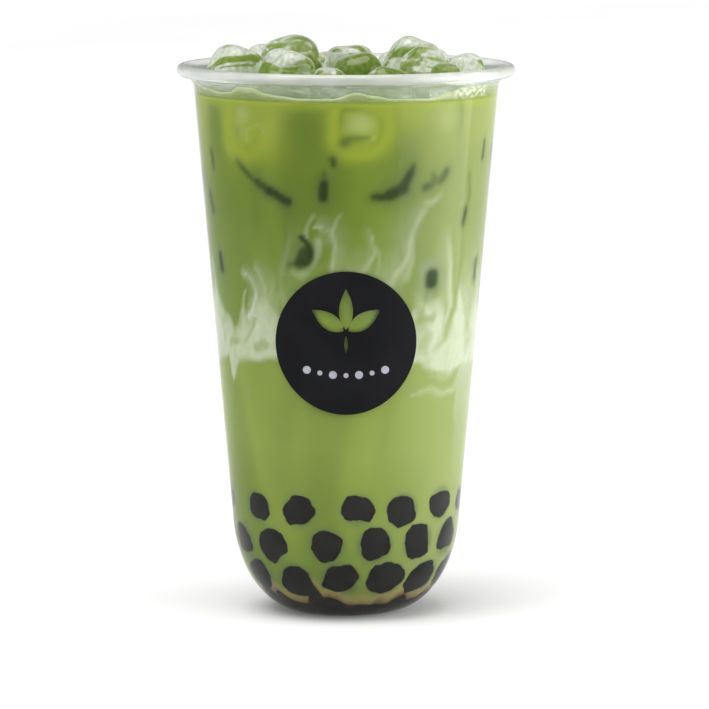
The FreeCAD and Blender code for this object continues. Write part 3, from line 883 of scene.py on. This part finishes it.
# ---------------------------------------------------------------------------------------
# The ice.  Clear cubes, half melted, that float crowded at the top and stand out of the
# drink, each with a cloudy heart of trapped air.
# ---------------------------------------------------------------------------------------
clear_ice, tree = new_finish("clear ice")
melt = node(tree, "Bump", {"Height": soft_noise(tree, 170.0, 3.0, warp=0.7), "Strength": 0.35,
                           "Distance": 0.0011})
flow = maths(tree, "ADD", soft_noise(tree, 48.0, 2.5, (1, 1, 1.9), 2.2), mark(tree, "washed"))
speckle = ramp(tree, soft_noise(tree, 800.0, 3.0), [(0.3, (0.8, 0.8, 0.75)), (0.7, (1.2, 1.2, 1.25))])
washed = ramp(tree, flow, [(0.42, (0.195, 0.290, 0.034)), (0.50, (0.30, 0.385, 0.12)),
                           (0.57, (0.74, 0.77, 0.70))])
washed = blend_colour(tree, 1.0, washed, speckle, "MULTIPLY")
# painted light by view angle: a pale band where the surface turns away is a painted highlight, and a dark
# green edge at the outline is painted shade
grazing = node(tree, "LayerWeight", {"Blend": 0.3}).outputs["Facing"]
for cover, stops, colour in ((0.55, [(0.42, (0, 0, 0)), (0.62, (1, 1, 1)), (0.80, (0, 0, 0))],
                              (0.80, 0.83, 0.76)),
                             (0.65, [(0.74, (0, 0, 0)), (0.96, (1, 1, 1))], (0.12, 0.20, 0.03))):
    washed = blend_colour(tree, maths(tree, "MULTIPLY", ramp(tree, grazing, stops), cover), washed, colour)
ice_shader = node(tree, "BsdfPrincipled", {
    "Base Color": washed, "Roughness": 0.1, "IOR": 1.22, "Transmission Weight": 0.5,
    "Coat Weight": 0.4, "Coat Roughness": 0.04, "Normal": melt.outputs[0]})
finish_clear(tree, ice_shader, (0.90, 0.95, 0.86, 1.0))
# how much paler (or greener, below 0) than the others a cube is
WASHED = {"ice_back_left": 0.33, "ice_centre": -0.1, "ice_back_right": 0.13, "ice_right_front": 0.03,
          "ice_right_edge": 0.16, "ice_front_right": -0.1, "ice_front_left": -0.03, "ice_left_front": 0.02}
for name in ice_nodes:
    cube = place(name + "_melted", ice_meshes[name], clear_ice)
    attribute = cube.data.attributes.new("washed", "FLOAT", "POINT")
    attribute.data.foreach_set("value", np.full(len(cube.data.vertices), WASHED.get(name, 0.0), np.float32))
    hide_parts(name)
    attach(cube, "root")

# ---------------------------------------------------------------------------------------
# The film.  Where the drink has washed up the wall it leaves a thin green film, with a
# wavy edge that is thicker and paler where it has run together.
# ---------------------------------------------------------------------------------------
FILM_STEPS = 360
# azimuth and height of the film's edge, round the cup
FILM_EDGE = [
    (-80, 151.2), (-66, 149.6), (-58, 148.8), (-50, 149.0), (-44, 150.9), (-38, 150.8), (-32, 149.2),
    (-26, 148.7), (-18, 148.1), (-5, 148.1), (4, 150.0), (10, 149.0), (18, 148.0), (34, 147.8), (43, 149.2),
    (50, 150.6), (62, 150.6), (80, 151.0), (98, 149.4), (112, 148.6), (124, 150.4), (140, 149.0),
    (156, 148.4), (168, 150.6), (184, 148.8), (202, 148.3), (214, 150.2), (232, 148.6), (248, 148.9),
    (262, 150.5),
]


def film_edge(azimuth):
    spots = np.array(FILM_EDGE)
    around = np.concatenate([spots[:, 0], spots[:1, 0] + 360])
    heights = np.concatenate([spots[:, 1], spots[:1, 1]])
    at = (azimuth + 80) % 360 - 80
    k = np.searchsorted(around, at, side="right") - 1
    share = (at - around[k]) / (around[k + 1] - around[k])
    return heights[k] + (heights[k + 1] - heights[k]) * share * share * (3 - 2 * share)


def film_rings():
    """Rings of the film's section: up its inner face, over the rounded edge, and down in the wall."""
    azimuths = np.linspace(0, 360, FILM_STEPS, endpoint=False)
    section = [(0.0, 0.22), (0.35, 0.16), (0.65, 0.14), (0.82, 0.22), (0.90, 0.46), (0.96, 0.50), (1.0, 0.34),
               (1.0, -0.06), (0.6, -0.06), (0.0, -0.06)]
    low = drink_level - 0.5
    rings = []
    for up, thick_here in section:
        ring = []
        for azimuth in azimuths:
            top = film_edge(azimuth)
            z = low + (top - low) * up
            radius = wall_radius(z, WALL) - thick_here
            turn = math.radians(azimuth)
            ring.append((radius * math.sin(turn), -radius * math.cos(turn), z))
        rings.append(ring)
    rings.append(rings[0])
    return rings


film_mesh = skin("drink_film", film_rings())
film_points = np.empty(len(film_mesh.vertices) * 3)
film_mesh.vertices.foreach_get("co", film_points)
film_points = film_points.reshape(-1, 3) / MM
film_height = np.array([film_edge(a) for a in np.degrees(np.arctan2(film_points[:, 0], -film_points[:, 1]))])
film_turn = np.degrees(np.arctan2(film_points[:, 0], -film_points[:, 1]))
film_marks = {
    "bead": step(film_points[:, 2], film_height - 0.55, film_height - 0.25),
    "climb": np.clip((film_points[:, 2] - drink_level) / (film_height - drink_level), 0, 1),
    "foam": (1 - step(np.abs(turned_by(film_turn, 56)), 7, 14)) * step(film_points[:, 2], 147.4, 148.6),
}
for name, values in film_marks.items():
    attribute = film_mesh.attributes.new(name, "FLOAT", "POINT")
    attribute.data.foreach_set("value", values.astype(np.float32))
film_finish, tree = new_finish("drink film")
bubbles = ramp(tree, soft_noise(tree, 700.0, 3.0, (1, 1, 1.5)), [(0.44, (0, 0, 0)), (0.58, (1, 1, 1))])
foam = maths(tree, "MULTIPLY", mark(tree, "foam"), bubbles)
film_colour = blend_colour(tree, mark(tree, "climb"), (0.21, 0.27, 0.05), (0.36, 0.41, 0.20))
film_colour = blend_colour(tree, mark(tree, "bead"), film_colour, (0.55, 0.60, 0.36))
film_colour = blend_colour(tree, foam, film_colour, (0.58, 0.62, 0.48))
film_cover = ramp(tree, mark(tree, "climb"), [(0.0, (0.95, 0.95, 0.95)), (0.35, (0.55, 0.55, 0.55)),
                                              (0.9, (0.22, 0.22, 0.22))])
streaks = maths(tree, "MULTIPLY", maths(tree, "SUBTRACT", soft_noise(tree, 90.0, 3.0, (1, 1, 0.5)), 0.5), 0.5)
film_cover = maths(tree, "ADD", maths(tree, "ADD", film_cover, streaks),
                   maths(tree, "ADD", maths(tree, "MULTIPLY", mark(tree, "bead"), 0.45),
                         maths(tree, "MULTIPLY", foam, 0.3)), True)
film_shader = node(tree, "BsdfPrincipled", {"Base Color": film_colour, "Roughness": 0.25,
                                            "Alpha": film_cover})
node(tree, "OutputMaterial", {"Surface": film_shader.outputs[0]})
film = place("drink_film", film_mesh, film_finish)
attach(film, "root")

# ---------------------------------------------------------------------------------------
# The mist.  Cold air over the ice clouds the inside of the wall above the film with fine
# drops of water, up to where the cup flares out into its lip.
# ---------------------------------------------------------------------------------------
MIST_TOP = 151.9
MIST_GAP = 0.12             # from the film's edge up to the lowest drops
MIST_COVER = 0.34           # how much the drops hide, and how far that varies in patches
MIST_PATCHES = 0.7


def mist_rings():
    """Rings of a skin of drops, up its inner face and down just inside the wall."""
    azimuths = np.linspace(0, 360, FILM_STEPS, endpoint=False)
    rings = []
    for up, thick_here in ((0.0, 0.1), (0.5, 0.12), (1.0, 0.08), (1.0, -0.05), (0.5, -0.05), (0.0, -0.05),
                           (0.0, 0.1)):
        ring = []
        for azimuth in azimuths:
            low = film_edge(azimuth) + MIST_GAP
            z = low + max(MIST_TOP - low, 0.3) * up
            radius = wall_radius(z, WALL) - thick_here
            turn = math.radians(azimuth)
            ring.append((radius * math.sin(turn), -radius * math.cos(turn), z))
        rings.append(ring)
    return rings


mist_finish, tree = new_finish("cold mist")
drops = ramp(tree, soft_noise(tree, 1300.0, 2.0), [(0.35, (0.34, 0.38, 0.31)), (0.7, (0.44, 0.48, 0.41))])
mist_cover = maths(tree, "ADD", MIST_COVER,
                   maths(tree, "MULTIPLY",
                         maths(tree, "SUBTRACT", soft_noise(tree, 70.0, 3.0), 0.5), MIST_PATCHES), True)
mist_shader = node(tree, "BsdfPrincipled", {"Base Color": drops, "Roughness": 0.5, "Alpha": mist_cover})
node(tree, "OutputMaterial", {"Surface": mist_shader.outputs[0]})
mist = place("wall_mist", skin("wall_mist", mist_rings()), mist_finish)
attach(mist, "root")

# ---------------------------------------------------------------------------------------
# The label.  A round black print on the outside of the wall.  A tea sprig is left open in
# it, so that the drink shows through, over a row of small pale leaves.
# ---------------------------------------------------------------------------------------
label_low, label_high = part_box("label")
LABEL_MIDDLE = (label_low.z + label_high.z) / 2 / MM
LABEL_ACROSS = min(label_high.x, -label_low.x) / MM
LABEL_UP = (label_high.z - label_low.z) / 2 / MM
LABEL_THICK = 0.13
SPRIG_HEIGHT = 3.0
LEAF_GAP = 0.8
# leaves of the sprig: length, width, lean from upright in degrees
SPRIG = [(11.5, 3.9, 0), (10.5, 4.6, 56), (10.5, 4.6, -56), (5.6, 0.9, 180)]
DOTS = [(-10.8, 1.1), (-7.2, 0.7), (-3.6, 1.1), (0.0, 0.7), (3.6, 1.1), (7.2, 0.7), (10.8, 1.1)]
DOT_DROP = 9.0


def leaf_outline(length, width, lean, steps=14):
    """Pointed leaf from its root at the sprig's joint."""
    along = np.concatenate([np.linspace(0, 1, steps), np.linspace(1, 0, steps)[1:-1]])
    side = np.concatenate([np.ones(steps), -np.ones(steps - 2)])
    x = side * width / 2 * np.sin(math.pi * along ** 0.85) ** 0.9
    z = LEAF_GAP + length * along
    turn = math.radians(lean)
    return [(a * math.cos(turn) + b * math.sin(turn), b * math.cos(turn) - a * math.sin(turn)) for a,
            b in zip(x, z)]


def wrapped(name, outlines, inside, outside, finish):
    """Thin piece on the wall with these outlines (x, z), the first its border and the rest its holes."""
    curve = bpy.data.curves.new(name, "CURVE")
    curve.dimensions = "2D"
    curve.fill_mode = "BOTH"
    for outline in outlines:
        spline = curve.splines.new("POLY")
        spline.points.add(len(outline) - 1)
        for point, (x, z) in zip(spline.points, outline):
            point.co = (x, z, 0, 1)
        spline.use_cyclic_u = True
    curve.extrude = 0.5
    work_piece = bpy.data.objects.new("work", curve)
    bpy.context.scene.collection.objects.link(work_piece)
    mesh = bpy.data.meshes.new_from_object(work_piece.evaluated_get(bpy.context.evaluated_depsgraph_get()))
    bpy.data.objects.remove(work_piece)
    work = bmesh.new()
    work.from_mesh(mesh)
    bmesh.ops.remove_doubles(work, verts=work.verts, dist=1e-5)
    reach = max(abs(x) for x, _ in outlines[0])
    for cut in np.arange(-reach, reach, 1.1):
        everything = list(work.verts) + list(work.edges) + list(work.faces)
        bmesh.ops.bisect_plane(work, geom=everything, plane_co=(cut + 0.05, 0, 0), plane_no=(1, 0, 0))
    for vertex in work.verts:
        x, z, side = vertex.co
        around = wall_radius(z, 0.0) + (outside if side > 0 else inside)
        vertex.co = Vector((x, -math.sqrt(around * around - x * x), z)) * MM
    bmesh.ops.recalc_face_normals(work, faces=work.faces)
    work.to_mesh(mesh)
    work.free()
    return place(name, mesh, finish)


black_print, tree = new_finish("black print")
sheen = ramp(tree, soft_noise(tree, 420.0, 3.0), [(0.3, (0.36, 0.36, 0.36)), (0.7, (0.5, 0.5, 0.5))])
ink = ramp(tree, soft_noise(tree, 60.0, 2.0),
           [(0.3, (0.0075, 0.0078, 0.009)), (0.7, (0.011, 0.0112, 0.0125))])
print_bump = node(tree, "Bump", {"Height": soft_noise(tree, 1500.0, 2.0), "Strength": 0.06,
                                 "Distance": 0.0001})
ink_shader = node(tree, "BsdfPrincipled", {"Base Color": ink, "Roughness": sheen, "Specular IOR Level": 0.03,
                                           "Normal": print_bump.outputs[0]})
node(tree, "OutputMaterial", {"Surface": ink_shader.outputs[0]})
turns = np.linspace(0, 2 * math.pi, 160, endpoint=False)
border = [((LABEL_ACROSS - 0.02) * math.cos(t), LABEL_MIDDLE + (LABEL_UP - 0.02) * math.sin(t))
          for t in turns]
windows = [[(x, z + LABEL_MIDDLE + SPRIG_HEIGHT) for x, z in leaf_outline(*leaf)] for leaf in SPRIG]
label = wrapped("label_print", [border] + windows, 0.0, LABEL_THICK, black_print)
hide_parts("label")
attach(label, "root")

grey_print, tree = new_finish("grey print")
pale = ramp(tree, soft_noise(tree, 500.0, 2.0), [(0.3, (0.28, 0.28, 0.33)), (0.7, (0.34, 0.34, 0.40))])
pale_shader = node(tree, "BsdfPrincipled", {"Base Color": pale, "Roughness": 0.5})
node(tree, "OutputMaterial", {"Surface": pale_shader.outputs[0]})
for index, (x, half) in enumerate(DOTS):
    rise = 0.012 * x * x
    dot = [(x + half * math.cos(t), LABEL_MIDDLE - DOT_DROP + rise + half * math.sin(t)) for t in turns[::5]]
    piece = wrapped(f"label_dot_{index}", [dot], 0.05, LABEL_THICK + 0.02, grey_print)
    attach(piece, "root")

# ---------------------------------------------------------------------------------------
# The studio.  A pale floor, a large soft box on the right, a smaller one on the left and
# a soft light overhead.
# ---------------------------------------------------------------------------------------
FLOOR_RADIUS = 30.0
floor_mesh = bpy.data.meshes.new("studio_floor")
floor_mesh.from_pydata([(FLOOR_RADIUS * math.cos(t), FLOOR_RADIUS * math.sin(t), 0)
                        for t in np.linspace(0, 2 * math.pi, 64, endpoint=False)],
                       [], [list(range(64))])
floor_finish, tree = new_finish("pale floor")
tone = ramp(tree, soft_noise(tree, 3.0, 2.0), [(0.3, (0.84, 0.84, 0.84)), (0.7, (0.87, 0.87, 0.87))])
floor_shader = node(tree, "BsdfPrincipled", {"Base Color": tone, "Roughness": 0.7, "Specular IOR Level": 0.2})
node(tree, "OutputMaterial", {"Surface": floor_shader.outputs[0]})
floor = place("studio_floor", floor_mesh, floor_finish)


def soft_box(name, azimuth, elevation, distance, width, height, power, aim=(0, 0, 0.09)):
    lamp = bpy.data.lights.new(name, "AREA")
    lamp.shape = "RECTANGLE"
    lamp.size = width
    lamp.size_y = height
    lamp.energy = power
    piece = bpy.data.objects.new(name, lamp)
    bpy.context.scene.collection.objects.link(piece)
    turn, rise = math.radians(azimuth), math.radians(elevation)
    target = Vector(aim)
    piece.location = target + distance * Vector((math.sin(turn) * math.cos(rise),
                                                 -math.cos(turn) * math.cos(rise), math.sin(rise)))
    piece.rotation_euler = (target - piece.location).to_track_quat("-Z", "Y").to_euler()
    piece.visible_camera = False
    return piece


soft_box("key", 74, 8, 0.34, 0.46, 0.26, 1.1)
soft_box("fill", -60, 20, 1.4, 0.8, 1.2, 6.5)
sun = bpy.data.lights.new("overhead", "SUN")
sun.energy = 2.3
sun.angle = math.radians(50)
sun_piece = bpy.data.objects.new("overhead", sun)
bpy.context.scene.collection.objects.link(sun_piece)
sun_piece.rotation_euler = (math.radians(8), math.radians(-10), 0)
world = bpy.data.worlds.new("studio")
world.use_nodes = True
world.node_tree.nodes["Background"].inputs["Color"].default_value = (1, 1, 1, 1)
world.node_tree.nodes["Background"].inputs["Strength"].default_value = 0.5
bpy.context.scene.world = world

# The camera stands in front, a little above the cup's middle, and far enough for a long lens.
CAMERA_AIM = 77.6
CAMERA_DISTANCE = 1300.0
CAMERA_RISE = math.radians(7.25)
camera_data = bpy.data.cameras.new("camera")
camera_data.lens = 233.1
camera_data.sensor_width = 36.0
camera_data.shift_x = 0.0120
camera_data.shift_y = -0.0251
camera_data.clip_end = 100.0
camera = bpy.data.objects.new("camera", camera_data)
bpy.context.scene.collection.objects.link(camera)
camera.location = Vector((0, -CAMERA_DISTANCE * math.cos(CAMERA_RISE),
                          CAMERA_AIM + CAMERA_DISTANCE * math.sin(CAMERA_RISE))) * MM
camera.rotation_euler = (math.pi / 2 - CAMERA_RISE, 0, 0)
bpy.context.scene.camera = camera
bpy.context.scene.view_settings.view_transform = "Standard"
